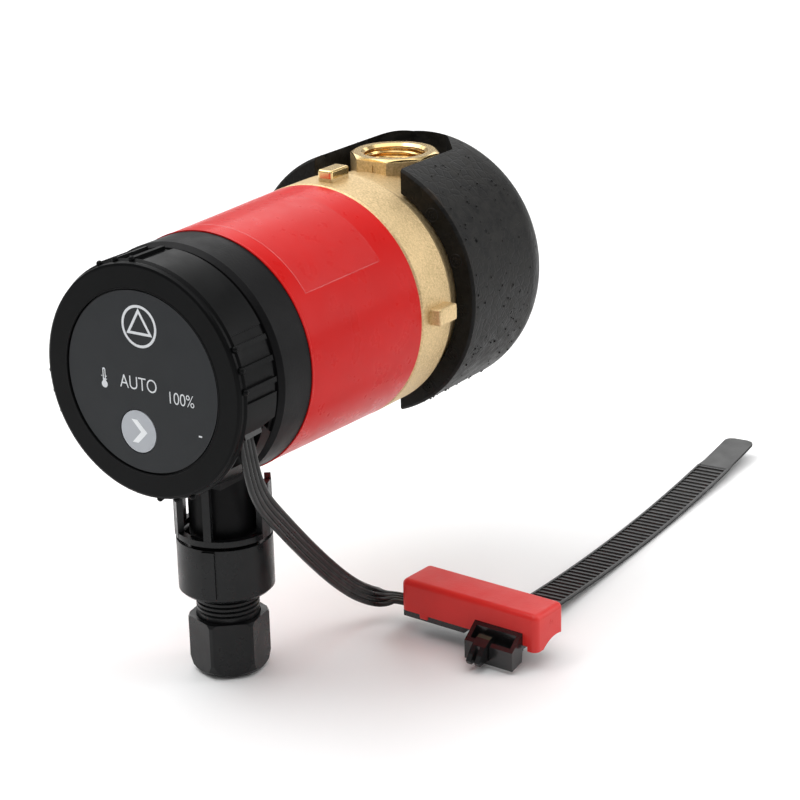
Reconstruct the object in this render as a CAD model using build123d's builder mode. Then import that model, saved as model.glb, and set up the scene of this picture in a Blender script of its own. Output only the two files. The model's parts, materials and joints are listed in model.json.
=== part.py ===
from build123d import *
import math
import os

# Small wet-rotor circulator pump with a brass housing, an insulation shell, a round control
# box, a pull-off mains plug and a strap-on pipe temperature sensor on a flat lead.
#
# Frame: the origin is the centre of the inlet port's mouth, +Z runs through both ports to
# the outlet, the motor axis is parallel to Y and the control panel faces -Y.
# All sizes are in millimetres.

# ---------------------------------------------------------------- driving dimensions
port_to_port = 80.0
motor_z = port_to_port / 2
panel_y = -131.5            # front face of the control box cover
rim_y = -112.3              # front of the control box's outer ring
box_back_y = -99.5          # joint between the control box and the motor sleeve
collar_y = -44.0            # joint between the motor sleeve and the brass collar
rest_z = -62.0              # level of the gland nut's lower end

# brass pump housing
collar_r = 38.0
body_r = 35.6
seat_r = 34.4               # bore that takes the motor's flange
seat_floor_y = -26.1
boss_across_flats = 27.1
boss_height = 20.0
port_bore_r = 9.9           # pitch radius of the half-inch pipe thread
port_bore_depth = 12.0
impeller_chamber_r = 24.0
suction_chamber_r = 17.0
lug_width = 5.4
lug_reach = 41.7

# insulation shell
shell_front_y = -21.5
shell_back_y = 46.0
shell_r = 42.9
shell_lift = 0.6            # the shell's outside is turned about a slightly higher axis
shell_wall_r = 36.3         # radius of the cavity

# motor
sleeve_front_r = 36.6
sleeve_back_r = 37.9
sleeve_bore_r = 35.3
can_r = 13.4
can_wall = 0.5
shaft_r = 3.0
running_clearance = 0.05

# control box
ring_r = 36.4
cover_r = 35.6
face_r = 35.0
label_r = 27.0
button_r = 6.35
button_x = -2.4
button_z = motor_z - 15.2
button_travel = 0.6
grip_zone_angle = 76.0      # first grip zone, from straight up towards +X
grip_zone_half = 16.0

# mains plug and cable gland
plug_y = -97.6
cup_r = 14.7
cup_bottom_z = -35.5
cup_top_z = -16.0
tower_r = 10.5
contact_spacing = (-4.5, 0, 4.5)
contact_top_z = 2.0
neck_r = 9.7
nut_across_flats = 22.0
nut_top_z = -44.0
gland_travel = 3.0

# sensor on its flat lead
sensor_x = 58.95
sensor_y = -45.65
sensor_turn = -4.1
sensor_length = 51.7
sensor_width = 15.0
sensor_base_z = -56.2
sensor_height = 12.5
ribbon_width = 6.4
strap_width = 12.2
strap_thickness = 1.3
strap_root = (65.4, -46.0)
strap_tip = (57.0, 147.0)

motor_axis = Axis((0, 0, motor_z), (0, 1, 0))
plug_axis = Axis((0, plug_y, 0), (0, 0, 1))


# ---------------------------------------------------------------- helpers
def turned(points, mode=Mode.ADD, arc=360):
    """Revolve a closed outline of (radius, y) points about the motor axis."""
    with BuildSketch(Plane.YZ) as outline:
        with BuildLine():
            Polyline([(y, motor_z + radius) for radius, y in points], close=True)
        make_face()
    revolve(outline.sketch, axis=motor_axis, revolution_arc=arc, mode=mode)


def turned_on_plug(points, mode=Mode.ADD):
    """Revolve a closed outline of (radius, z) points about the plug axis."""
    plane = Plane(origin=(0, plug_y, 0), x_dir=(1, 0, 0), z_dir=(0, -1, 0))
    with BuildSketch(plane) as outline:
        with BuildLine():
            Polyline(points, close=True)
        make_face()
    revolve(outline.sketch, axis=plug_axis, mode=mode)


def ring(outer, inner, y0, y1):
    """Outline of a plain ring for turned()."""
    return [(inner, y0), (outer, y0), (outer, y1), (inner, y1)]


def facing(y):
    """Sketch plane square to the motor axis, seen from the control panel."""
    return Plane(origin=(0, y, motor_z), x_dir=(1, 0, 0), z_dir=(0, -1, 0))


def around(angle, radius=0.0, y=0.0):
    """Plane on the motor axis whose x runs along the axis and z points outwards at angle."""
    turn = math.radians(angle)
    outward = Vector(math.sin(turn), 0, math.cos(turn))
    origin = Vector(0, y, motor_z) + outward * radius
    return Plane(origin=origin, x_dir=(0, 1, 0), z_dir=outward)


def block(plane, size, mode=Mode.ADD, align=(Align.CENTER, Align.CENTER, Align.MIN)):
    """Box placed by a plane."""
    with BuildPart(plane, mode=Mode.PRIVATE) as piece:
        Box(*size, align=align)
    add(piece.part, mode=mode)


def rod(plane, radius, length, mode=Mode.ADD):
    """Cylinder that starts on a plane and runs along its normal."""
    with BuildPart(plane, mode=Mode.PRIVATE) as piece:
        Cylinder(radius, length, align=(Align.CENTER, Align.CENTER, Align.MIN))
    add(piece.part, mode=mode)


parts = []


def keep(builder, label):
    """Name a finished piece and remember it for export."""
    builder.part.label = label
    parts.append(builder.part)


# ---------------------------------------------------------------- where the sensor and its lead lie
sensor_plane = Plane(
    origin=(sensor_x, sensor_y, sensor_base_z),
    x_dir=(math.cos(math.radians(sensor_turn)), math.sin(math.radians(sensor_turn)), 0),
    z_dir=(0, 0, 1),
)


def on_sensor(x, y, z):
    """Plane level with the sensor at a point given in the sensor's own directions."""
    return Plane(sensor_plane.from_local_coords((x, y, z)), x_dir=sensor_plane.x_dir, z_dir=(0, 0, 1))


lead_entry = sensor_plane.from_local_coords((-sensor_length / 2, 0, 1.6))
lead_inward = sensor_plane.x_dir
lead_route = [
    (30.6, -124.5, 27.4),
    (32.1, -124.2, 16.4),
    (31.7, -119.6, 6.2),
    (30.6, -109.6, -4.2),
    (28.8, -95.6, -18.0),
    (26.8, -81.0, -31.3),
    (24.4, -67.4, -42.1),
    (22.6, -56.2, -49.5),
    (23.0, -48.6, -53.6),
    tuple(lead_entry - lead_inward * 6.6),
    tuple(lead_entry),
]


def corner_radii(route):
    """Radius of the tangent arc at each inner point: as large as its two runs allow."""
    radii = []
    for before, corner, after in zip(route, route[1:], route[2:]):
        run_in = Vector(*corner) - Vector(*before)
        run_out = Vector(*after) - Vector(*corner)
        half_turn = math.radians(run_in.get_angle(run_out)) / 2
        radii.append(0.45 * min(run_in.length, run_out.length) / math.tan(half_turn))
    return radii


lead_start = Plane(lead_route[0], x_dir=(0, 1, 0), z_dir=Vector(*lead_route[1]) - Vector(*lead_route[0]))


# ---------------------------------------------------------------- brass pump housing
with BuildPart() as pump_housing:
    turned([
        (0, 26.5), (14, 26), (28, 20), (34, 8), (body_r, -8), (body_r, -22.5),
        (collar_r, -27.5), (collar_r, collar_y + 1.2), (collar_r - 1.2, collar_y), (0, collar_y),
    ])
    for mouth_z, height in ((0, boss_height), (port_to_port, -boss_height)):
        with BuildSketch(Plane.XY.offset(mouth_z)):
            RegularPolygon(boss_across_flats / 2, 8, major_radius=False, rotation=22.5)
        extrude(amount=height)
        # casting seam down the front and back of the boss
        with BuildSketch(Plane.XY.offset(mouth_z + math.copysign(2.2, height))):
            Rectangle(1.1, boss_across_flats + 0.7)
        extrude(amount=height * 0.8)
    for angle in (0, 90, 180, 270):
        lug = around(angle, collar_r - 2, -34.4)
        with BuildPart(lug, mode=Mode.PRIVATE) as lug_block:
            Box(9.8, lug_width, lug_reach - collar_r + 2, align=(Align.CENTER, Align.CENTER, Align.MIN))
            fillet(lug_block.edges().filter_by(Axis((0, 0, 0), lug.z_dir)), 0.9)
            fillet(lug_block.faces().sort_by(Axis(lug.origin, lug.z_dir))[-1].edges(), 0.7)
        add(lug_block.part)
    # cone that breaks the corners of each boss's mouth
    for mouth, normal in ((0, 1), (port_to_port, -1)):
        with BuildPart(Plane((0, 0, mouth), z_dir=(0, 0, normal)), mode=Mode.PRIVATE) as corner_cone:
            Cylinder(22, 6, align=(Align.CENTER, Align.CENTER, Align.MIN))
            Cone(13.2, 25.2, 6.001, align=(Align.CENTER, Align.CENTER, Align.MIN), mode=Mode.SUBTRACT)
        add(corner_cone.part, mode=Mode.SUBTRACT)
    # motor seat, seal groove, impeller chamber, eye and suction chamber
    turned(ring(seat_r, 0, collar_y, seat_floor_y), mode=Mode.SUBTRACT)
    turned(ring(32.3, 29.7, seat_floor_y, -24.1), mode=Mode.SUBTRACT)
    turned(ring(impeller_chamber_r, 0, seat_floor_y, -8), mode=Mode.SUBTRACT)
    turned(ring(8.8, 0, -8, -6.6), mode=Mode.SUBTRACT)
    turned(ring(7.2, 0, -6.6, -4), mode=Mode.SUBTRACT)
    turned(ring(suction_chamber_r, 0, -4, 19), mode=Mode.SUBTRACT)
    # threaded port bores, the outlet with a countersunk mouth, and the ducts behind them
    for mouth, normal in ((0, 1), (port_to_port, -1)):
        rod(Plane((0, 0, mouth), z_dir=(0, 0, normal)), port_bore_r, port_bore_depth, mode=Mode.SUBTRACT)
    with BuildPart(Plane((0, 0, port_to_port), z_dir=(0, 0, -1)), mode=Mode.PRIVATE) as countersink:
        Cone(port_bore_r + 0.9, port_bore_r, 0.9, align=(Align.CENTER, Align.CENTER, Align.MIN))
    add(countersink.part, mode=Mode.SUBTRACT)
    rod(Plane((0, 2, 8), z_dir=(0, 0, 1)), 7.0, 18, mode=Mode.SUBTRACT)
    rod(Plane((0, 0, port_to_port - 9), z_dir=(0, -1, -1)), 5.5, 26, mode=Mode.SUBTRACT)
keep(pump_housing, "pump_housing")

# ---------------------------------------------------------------- insulation shell
shell_axis_z = motor_z + shell_lift
with BuildPart() as insulation_shell:
    with BuildSketch(Plane.YZ) as shell_outline:
        with BuildLine():
            Line((shell_back_y, shell_axis_z), (shell_back_y, shell_axis_z + 4))
            Bezier((shell_back_y, shell_axis_z + 4), (shell_back_y, shell_axis_z + 13),
                   (33, shell_axis_z + shell_r - 1.4), (15, shell_axis_z + shell_r))
            Polyline((15, shell_axis_z + shell_r), (shell_front_y + 0.8, shell_axis_z + shell_r),
                     (shell_front_y, shell_axis_z + shell_r - 0.8), (shell_front_y, shell_axis_z),
                     (shell_back_y, shell_axis_z))
        make_face()
    revolve(axis=Axis((0, 0, shell_axis_z), (0, 1, 0)))
    # cavity for the housing's round body
    turned([(0, shell_front_y - 1), (shell_wall_r, shell_front_y - 1), (shell_wall_r, 9), (30, 22), (15, 28),
            (0, 28.5)], mode=Mode.SUBTRACT)
    # slots that let the shell slide on over the two port bosses
    for direction, half_width in ((1, 16.4), (-1, 14.4)):
        with BuildSketch(Plane.XY.offset(motor_z)):
            with BuildLine():
                Polyline((-half_width, shell_front_y - 5), (half_width, shell_front_y - 5),
                         (half_width, 9), (6.4, 20.8), (-6.4, 20.8), (-half_width, 9), close=True)
            make_face()
        extrude(amount=50 * direction, mode=Mode.SUBTRACT)
keep(insulation_shell, "insulation_shell")

# ---------------------------------------------------------------- motor sleeve and its label
with BuildPart() as motor_sleeve:
    turned([
        (sleeve_bore_r, box_back_y), (sleeve_front_r + 0.15, box_back_y),
        (sleeve_front_r + 0.15, box_back_y + 0.7), (sleeve_front_r, box_back_y + 1.0),
        (sleeve_back_r, collar_y), (sleeve_bore_r, collar_y),
    ])
keep(motor_sleeve, "motor_sleeve")

label_back_y = -56.0
label_front_y = -93.0
label_film = 0.12


def sleeve_r(y):
    """Outer radius of the tapered sleeve."""
    share = (y - box_back_y - 1.0) / (collar_y - box_back_y - 1.0)
    return sleeve_front_r + share * (sleeve_back_r - sleeve_front_r)


with BuildPart() as rating_film:
    turned([
        (sleeve_r(label_front_y), label_front_y), (sleeve_r(label_front_y) + label_film, label_front_y),
        (sleeve_r(label_back_y) + label_film, label_back_y), (sleeve_r(label_back_y), label_back_y),
    ])
    # keep the stretch from 48 degrees left of the top to 56 degrees right of it
    with BuildPart(mode=Mode.PRIVATE) as film_window:
        with BuildSketch(facing(label_front_y - 2)):
            with BuildLine():
                Line((0, 0), (-60 * math.sin(math.radians(48)), 60 * math.cos(math.radians(48))))
                Line((-60 * math.sin(math.radians(48)), 60 * math.cos(math.radians(48))), (0, 90))
                Line((0, 90), (60 * math.sin(math.radians(56)), 60 * math.cos(math.radians(56))))
                Line((60 * math.sin(math.radians(56)), 60 * math.cos(math.radians(56))), (0, 0))
            make_face()
        extrude(amount=-50)
    add(film_window.part, mode=Mode.INTERSECT)
keep(rating_film, "rating_film")

# ---------------------------------------------------------------- wet end of the motor
with BuildPart() as rotor_can:
    turned([
        (0, -94.5), (can_r, -94.5), (can_r, -29.4), (seat_r - 0.3, -29.4), (seat_r - 0.3, -28.6),
        (can_r - can_wall, -28.6), (can_r - can_wall, -94.0), (0, -94.0),
    ])
keep(rotor_can, "rotor_can")

with BuildPart() as bearing_plate:
    turned([
        (6.6, -35.0), (8.6, -35.0), (8.6, -28.2), (seat_r - 0.3, -28.2), (seat_r - 0.3, seat_floor_y),
        (4.2, seat_floor_y), (4.2, -27.2), (6.6, -27.2),
    ])
keep(bearing_plate, "bearing_plate")

with BuildPart() as housing_seal:
    with BuildSketch(Plane.YZ):
        with Locations((-25.1, motor_z + 31)):
            Circle(1.0)
    revolve(axis=motor_axis)
keep(housing_seal, "housing_seal")

with BuildPart() as can_seal:
    turned(ring(33.2, 30.6, -28.6, -28.2))
keep(can_seal, "can_seal")

with BuildPart() as clamp_ring:
    turned(ring(seat_r - 0.2, 29.0, -36.5, -29.4))
    for angle in (0, 90, 180, 270):
        block(around(angle, 28.0, -36.5), (5.0, 4.0, 8.0), mode=Mode.SUBTRACT)
keep(clamp_ring, "clamp_ring")

with BuildPart() as front_bearing:
    turned(ring(6.6, shaft_r + running_clearance, -91.0, -84.5))
keep(front_bearing, "front_bearing")

with BuildPart() as bearing_holder:
    turned([(0, -94.0), (can_r - can_wall, -94.0), (can_r - can_wall, -85.0), (6.6, -85.0),
            (6.6, -91.0), (0, -91.0)])
    rod(facing(-90.9), 3.4, 1.0, mode=Mode.SUBTRACT)
keep(bearing_holder, "bearing_holder")

with BuildPart() as rear_bearing:
    turned(ring(6.6, shaft_r + running_clearance, -35.0, -27.2))
keep(rear_bearing, "rear_bearing")

# ---------------------------------------------------------------- rotor and impeller
with BuildPart() as motor_shaft:
    turned([(0, -90.3), (shaft_r - 0.4, -90.3), (shaft_r, -89.9), (shaft_r, -9.2), (0, -9.2)])
keep(motor_shaft, "motor_shaft")

with BuildPart() as rotor_core:
    turned(ring(7.5, shaft_r, -81.0, -56.0))
keep(rotor_core, "rotor_core")

with BuildPart() as rotor_magnet:
    turned(ring(12.2, 7.5, -80.5, -56.5))
keep(rotor_magnet, "rotor_magnet")

with BuildPart() as thrust_ring:
    turned(ring(5.6, shaft_r, -38.2, -35.6))
keep(thrust_ring, "thrust_ring")

impeller_blades = 6
with BuildPart() as impeller:
    turned([(shaft_r, -24.0), (20.0, -24.0), (20.0, -22.6), (5.0, -22.6), (5.0, -9.8), (shaft_r, -9.8)])
    turned([(7.0, -7.4), (8.3, -7.4), (8.3, -11.0), (20.0, -12.0), (20.0, -13.2), (7.0, -13.2)])
    with BuildPart(mode=Mode.PRIVATE) as blade:
        with BuildSketch(facing(-22.9)):
            with BuildLine():
                outer_edge = ThreePointArc((0, 8.0), (4.2, 14.0), (12.6, 15.2))
                inner_edge = ThreePointArc((1.2, 7.6), (5.2, 12.8), (13.2, 14.2))
                Line(outer_edge @ 0, inner_edge @ 0)
                Line(outer_edge @ 1, inner_edge @ 1)
            make_face()
        extrude(amount=-10.0)
    for number in range(impeller_blades):
        add(blade.part.rotate(motor_axis, 360 / impeller_blades * number))
keep(impeller, "impeller")

# ---------------------------------------------------------------- stator
stator_teeth = 6
core_front_y = -86.0
core_back_y = -54.0
with BuildPart() as stator_core:
    turned(ring(sleeve_bore_r, 28.5, core_front_y, core_back_y))
    for number in range(stator_teeth):
        angle = 360 / stator_teeth * number
        middle = (core_front_y + core_back_y) / 2
        block(around(angle, 14.6, middle), (core_back_y - core_front_y, 6.0, 15.0))
        block(around(angle, 14.6, middle), (core_back_y - core_front_y, 10.5, 2.4))
    rod(facing(core_back_y + 1), 13.9, core_back_y - core_front_y + 2, mode=Mode.SUBTRACT)
keep(stator_core, "stator_core")

with BuildPart() as stator_coils:
    for number in range(stator_teeth):
        angle = 360 / stator_teeth * number
        middle = (core_front_y + core_back_y) / 2
        plane = around(angle, 17.6, middle)
        with BuildPart(plane, mode=Mode.PRIVATE) as coil:
            Box(40.0, 11.4, 8.6, align=(Align.CENTER, Align.CENTER, Align.MIN))
            Box(34.6, 7.4, 9.0, align=(Align.CENTER, Align.CENTER, Align.MIN), mode=Mode.SUBTRACT)
        add(coil.part)
keep(stator_coils, "stator_coils")

with BuildPart() as coil_formers:
    for number in range(stator_teeth):
        angle = 360 / stator_teeth * number
        middle = (core_front_y + core_back_y) / 2
        plane = around(angle, 17.4, middle)
        with BuildPart(plane, mode=Mode.PRIVATE) as former:
            Box(34.2, 7.2, 9.0, align=(Align.CENTER, Align.CENTER, Align.MIN))
            Box(32.4, 6.2, 9.4, align=(Align.CENTER, Align.CENTER, Align.MIN), mode=Mode.SUBTRACT)
        add(former.part)
keep(coil_formers, "coil_formers")

coil_pin_angles = (-30, 30, 90)
with BuildPart() as coil_pins:
    for angle in coil_pin_angles:
        block(around(angle, 27.0, -101.8), (29.4, 0.8, 0.8))
keep(coil_pins, "coil_pins")

# ---------------------------------------------------------------- control box
with BuildPart() as control_housing:
    # ring with a bevelled front rim, back wall and the spigot inside the sleeve
    turned([
        (33.4, box_back_y + 4.0), (sleeve_bore_r - 0.1, box_back_y + 4.0), (sleeve_bore_r - 0.1, box_back_y),
        (ring_r, box_back_y), (ring_r, rim_y), (ring_r - 1.3, rim_y - 1.5), (34.2, rim_y - 1.6),
        (34.2, rim_y - 3.0), (33.0, rim_y - 3.0), (32.6, rim_y - 6.0), (31.2, rim_y - 6.0),
        (31.2, box_back_y - 2.2), (0, box_back_y - 2.2), (0, box_back_y - 0.2), (33.4, box_back_y - 0.2),
    ])
    # socket tower under the box, clear of the motor sleeve behind it
    turned_on_plug([(0, 7.5), (0, 0.5), (8.7, 0.5), (8.7, -20.0), (tower_r, -20.0), (tower_r, 7.5)])
    block(Plane((0, -105.6, 2.4)), (21.0, 12.0, 6.0))
    turned(ring(38.6, 0, box_back_y, collar_y), mode=Mode.SUBTRACT)
    turned(ring(31.2, 0, rim_y - 8, box_back_y - 2.2), mode=Mode.SUBTRACT)
    turned(ring(sleeve_bore_r - 0.1, 33.4, box_back_y - 1.0, box_back_y + 4.0))
    # windows for the coil pins and seats for the blade contacts
    for angle in coil_pin_angles:
        block(around(angle, 25.9, box_back_y - 1.2), (4.0, 3.0, 3.0), mode=Mode.SUBTRACT)
    for x in contact_spacing:
        block(Plane((x, plug_y, 0)), (0.8, 3.4, contact_top_z), mode=Mode.SUBTRACT)
    # bosses that carry the circuit board
    for angle in (45, 135, 225, 315):
        rod(Plane(around(angle, 26.5, box_back_y - 2.2).origin, z_dir=(0, -1, 0)), 2.6, 12.4)
        rod(Plane(around(angle, 26.5, box_back_y - 8.0).origin, z_dir=(0, -1, 0)), 1.0, 8, mode=Mode.SUBTRACT)
keep(control_housing, "control_housing")

board_y = box_back_y - 14.6
with BuildPart() as circuit_board:
    turned(ring(30.2, 0, board_y - 1.6, board_y))
    for angle in (45, 135, 225, 315):
        rod(Plane(around(angle, 26.5, board_y + 1).origin, z_dir=(0, -1, 0)), 1.3, 4, mode=Mode.SUBTRACT)
    for angle in coil_pin_angles:
        block(around(angle, 26.9, board_y), (4.0, 1.0, 1.0), mode=Mode.SUBTRACT)
keep(circuit_board, "circuit_board")

with BuildPart() as board_screws:
    for angle in (45, 135, 225, 315):
        seat = around(angle, 26.5, board_y - 1.6).origin
        rod(Plane(seat, z_dir=(0, -1, 0)), 2.2, 1.6)
        rod(Plane(seat, z_dir=(0, 1, 0)), 0.95, 7.0)
keep(board_screws, "board_screws")

with BuildPart() as board_capacitors:
    for x, z, radius, length in ((-15, motor_z + 6, 5.0, 11.0), (-3, motor_z + 12, 4.0, 10.0)):
        rod(Plane((x, board_y, z), z_dir=(0, 1, 0)), radius, length)
keep(board_capacitors, "board_capacitors")

with BuildPart() as board_choke:
    block(Plane((14, board_y + 5.0, motor_z - 4)), (13.0, 10.0, 11.0))
keep(board_choke, "board_choke")

with BuildPart() as board_chips:
    for x, z, width, height in ((10, motor_z + 16, 8, 8), (-16, motor_z - 12, 9, 6), (20, motor_z - 10, 5, 6)):
        block(Plane((x, board_y - 2.4, z - height / 2)), (width, 1.6, height))
keep(board_chips, "board_chips")

with BuildPart() as indicator_leds:
    for x, z in ((-13.9, motor_z + 4.2), (-1.7, motor_z + 3.4), (13.8, motor_z + 2.6)):
        rod(Plane((x, board_y - 1.6, z), z_dir=(0, -1, 0)), 1.2, 2.4)
keep(indicator_leds, "indicator_leds")

with BuildPart() as key_switch:
    block(Plane((button_x, board_y - 3.1, button_z - 3)), (6.0, 3.0, 6.0))
    rod(Plane((button_x, board_y - 4.6, button_z), z_dir=(0, -1, 0)), 1.7, 0.7)
keep(key_switch, "key_switch")

with BuildPart() as inlet_contacts:
    for x in contact_spacing:
        block(Plane((x, plug_y, -16.0)), (0.8, 3.4, contact_top_z + 16.0))
keep(inlet_contacts, "inlet_contacts")

# ---------------------------------------------------------------- control box cover
cover_back_y = rim_y - 3.05
with BuildPart() as control_cover:
    turned([
        (0, panel_y + 1.0), (label_r + 0.5, panel_y + 1.0), (label_r + 0.5, panel_y),
        (face_r - 1.0, panel_y), (face_r - 0.3, panel_y + 0.3), (face_r, panel_y + 1.0),
        (face_r, panel_y + 1.9), (cover_r, panel_y + 2.5), (cover_r, cover_back_y),
        (33.1, cover_back_y), (33.1, panel_y + 2.4), (0, panel_y + 2.4),
    ])
    # four shallow grip zones, each with three ribs that end in a small bump
    for zone in range(4):
        zone_angle = grip_zone_angle + 90 * zone
        with BuildPart(mode=Mode.PRIVATE) as zone_cut:
            with BuildSketch(facing(panel_y + 2.6)):
                with BuildLine():
                    edge_a = zone_angle - grip_zone_half
                    edge_b = zone_angle + grip_zone_half
                    corner_a = (50 * math.sin(math.radians(edge_a)), 50 * math.cos(math.radians(edge_a)))
                    corner_b = (50 * math.sin(math.radians(edge_b)), 50 * math.cos(math.radians(edge_b)))
                    Polyline((0, 0), corner_a, corner_b, close=True)
                make_face()
                Circle(cover_r - 0.7, mode=Mode.SUBTRACT)
            extrude(amount=-13.6)
        add(zone_cut.part, mode=Mode.SUBTRACT)
        for rib in (-1, 0, 1):
            angle = zone_angle + 10 * rib
            block(around(angle, 34.3, panel_y + 9.2), (13.4, 1.5, 1.7))
            with BuildPart(around(angle, 35.5, panel_y + 2.2), mode=Mode.PRIVATE) as bump:
                Sphere(0.95)
            add(bump.part)
    # hole for the button, slot for the flat lead and the small window beside it
    rod(Plane((button_x, panel_y + 4, button_z), z_dir=(0, -1, 0)), button_r + 0.25, 8, mode=Mode.SUBTRACT)
    block(lead_start.offset(-11.0), (8.2, 7.4, 22.0), mode=Mode.SUBTRACT)
    with BuildPart(mode=Mode.PRIVATE) as side_window:
        with BuildSketch(around(112, 30.5, panel_y + 14.2)):
            with BuildLine():
                Polyline((-3.0, 3.4), (2.4, 4.6), (2.4, -1.0), close=True)
            make_face()
        extrude(amount=6)
    add(side_window.part, mode=Mode.SUBTRACT)
keep(control_cover, "control_cover")

with BuildPart() as label_panel:
    turned(ring(label_r, 0, panel_y + 0.3, panel_y + 1.0))
    rod(Plane((button_x, panel_y + 4, button_z), z_dir=(0, -1, 0)), button_r + 0.3, 8, mode=Mode.SUBTRACT)
keep(label_panel, "label_panel")

with BuildPart() as push_button:
    seat = Plane((button_x, panel_y + 0.35, button_z), z_dir=(0, 1, 0))
    rod(seat, button_r, 2.4)
    rod(seat.offset(2.4), button_r + 0.9, 0.9)
    rod(seat.offset(3.3), 2.6, board_y - 5.4 - button_travel - (panel_y + 3.65))
keep(push_button, "push_button")

arrow = 3.5                 # half the chevron's height
with BuildPart() as button_arrow:
    with BuildSketch(Plane((button_x, panel_y + 0.35, button_z), x_dir=(1, 0, 0), z_dir=(0, -1, 0))):
        with BuildLine():
            Polyline((-2.4, arrow), (-0.3, arrow), (3.2, 0), (-0.3, -arrow), (-2.4, -arrow), (0.9, 0),
                     close=True)
        make_face()
    extrude(amount=0.06)
keep(button_arrow, "button_arrow")

# ---------------------------------------------------------------- mains plug
with BuildPart() as plug_body:
    turned_on_plug([
        (0, cup_bottom_z), (neck_r, cup_bottom_z), (cup_r - 1.0, cup_bottom_z), (cup_r, cup_bottom_z + 1.0),
        (cup_r, cup_top_z - 2.2), (12.4, cup_top_z - 2.2), (12.4, cup_bottom_z + 2.4), (0, cup_bottom_z + 2.4),
    ])
    # threaded neck, its thread cut as plain grooves
    turned_on_plug([(7.5, cup_bottom_z), (neck_r, cup_bottom_z), (neck_r, -53.0), (7.5, -53.0)])
    for turn in range(4):
        groove_z = cup_bottom_z - 1.6 - 1.5 * turn
        turned_on_plug([(neck_r + 0.1, groove_z), (neck_r - 0.55, groove_z - 0.45),
                        (neck_r + 0.1, groove_z - 0.9)], mode=Mode.SUBTRACT)
    # cable way through the floor and the notch at the back of the cup
    rod(Plane((0, plug_y, cup_bottom_z - 1)), 5.5, 5, mode=Mode.SUBTRACT)
    block(Plane((9.4, plug_y + 9.4, cup_bottom_z - 0.1)).rotated((0, 0, 45)), (6.0, 5.0, 2.4),
          mode=Mode.SUBTRACT)
    # raised rib down the front
    with BuildPart(Plane((0, plug_y, cup_bottom_z + 2.0)), mode=Mode.PRIVATE) as front_rib:
        with Locations(Rotation(0, 0, -72)):
            with Locations((cup_r - 0.2, 0, 0)):
                Box(1.8, 4.0, 15.0, align=(Align.CENTER, Align.CENTER, Align.MIN))
    add(front_rib.part)
keep(plug_body, "plug_body")

with BuildPart() as contact_carrier:
    turned_on_plug([(5.6, cup_bottom_z + 2.4), (8.4, cup_bottom_z + 2.4), (8.4, -4.0), (0, -4.0),
                    (0, -24.0), (5.6, -24.0)])
    for x in contact_spacing:
        block(Plane((x, plug_y, -17.0)), (1.6, 4.4, 16.0), mode=Mode.SUBTRACT)
keep(contact_carrier, "contact_carrier")

with BuildPart() as wire_clamps:
    for x in contact_spacing:
        block(Plane((x * 0.75, plug_y, -28.5)), (2.4, 4.6, 4.4))
keep(wire_clamps, "wire_clamps")

with BuildPart() as lock_ring:
    turned_on_plug([(12.6, cup_top_z - 1.0), (cup_r + 0.1, cup_top_z - 1.0), (cup_r + 0.1, cup_top_z + 0.8),
                    (12.6, cup_top_z + 0.8)])
    # front latch arm, and the arms that make up the two side walls
    for angle, width, height in ((-72, 2.4, 18.8), (7, 4.6, 16.4), (23, 4.6, 16.6), (39, 4.6, 16.8),
                                 (199, 4.6, 12.2), (215, 4.6, 12.4), (231, 4.6, 12.6)):
        with BuildPart(Plane((0, plug_y, cup_top_z - 1.0)), mode=Mode.PRIVATE) as arm:
            with Locations(Rotation(0, 0, angle)):
                with Locations((cup_r - 0.95, 0, 0)):
                    Box(2.0, width, height, align=(Align.CENTER, Align.CENTER, Align.MIN))
        add(arm.part)
    turned(ring(ring_r + 0.35, 0, rim_y - 8, box_back_y + 0.2), mode=Mode.SUBTRACT)
    turned(ring(38.6, 0, box_back_y - 1.0, collar_y), mode=Mode.SUBTRACT)
keep(lock_ring, "lock_ring")

# ---------------------------------------------------------------- cable gland
with BuildPart() as gland_seal:
    turned_on_plug([(4.2, -49.6), (7.4, -49.6), (7.4, -39.0), (4.2, -39.0)])
keep(gland_seal, "gland_seal")

with BuildPart() as gland_claw:
    turned_on_plug([(5.2, -59.4), (9.3, -59.4), (9.3, -56.6), (7.1, -56.2), (6.6, -52.9), (5.2, -52.9)])
    for angle in (0, 60, 120):
        block(Plane((0, plug_y, -56.4)).rotated((0, 0, angle)), (20, 0.9, 4.0), mode=Mode.SUBTRACT)
keep(gland_claw, "gland_claw")

with BuildPart() as gland_nut:
    with BuildSketch(Plane((0, plug_y, rest_z))):
        RegularPolygon(nut_across_flats / 2, 6, major_radius=False, rotation=41)
    extrude(amount=nut_top_z - rest_z)
    fillet(gland_nut.edges().filter_by(Axis.Z), 0.7)
    # rounded lower end and bevelled upper end
    with BuildPart(mode=Mode.PRIVATE) as nut_blank:
        turned_on_plug([(0, rest_z), (9.2, rest_z), (10.6, rest_z + 0.6), (11.8, rest_z + 1.9),
                        (12.4, rest_z + 4.4), (12.4, nut_top_z - 1.0), (11.9, nut_top_z), (0, nut_top_z)])
    add(nut_blank.part, mode=Mode.INTERSECT)
    turned_on_plug([(0, -59.45), (9.95, -59.45), (9.95, nut_top_z + 1), (0, nut_top_z + 1)], mode=Mode.SUBTRACT)
    turned_on_plug([(0, rest_z - 1), (6.0, rest_z - 1), (6.0, -59), (0, -59)], mode=Mode.SUBTRACT)
keep(gland_nut, "gland_nut")

# ---------------------------------------------------------------- flat sensor lead
lead_radii = corner_radii(lead_route)
with BuildPart() as sensor_lead:
    with BuildLine() as lead_path:
        FilletPolyline(*lead_route, radius=lead_radii)
    with BuildSketch(Plane(lead_path.line @ 0, z_dir=lead_path.line % 0)):
        Circle(ribbon_width / 2)
    sweep(path=lead_path.line)
keep(sensor_lead, "sensor_lead")

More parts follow.
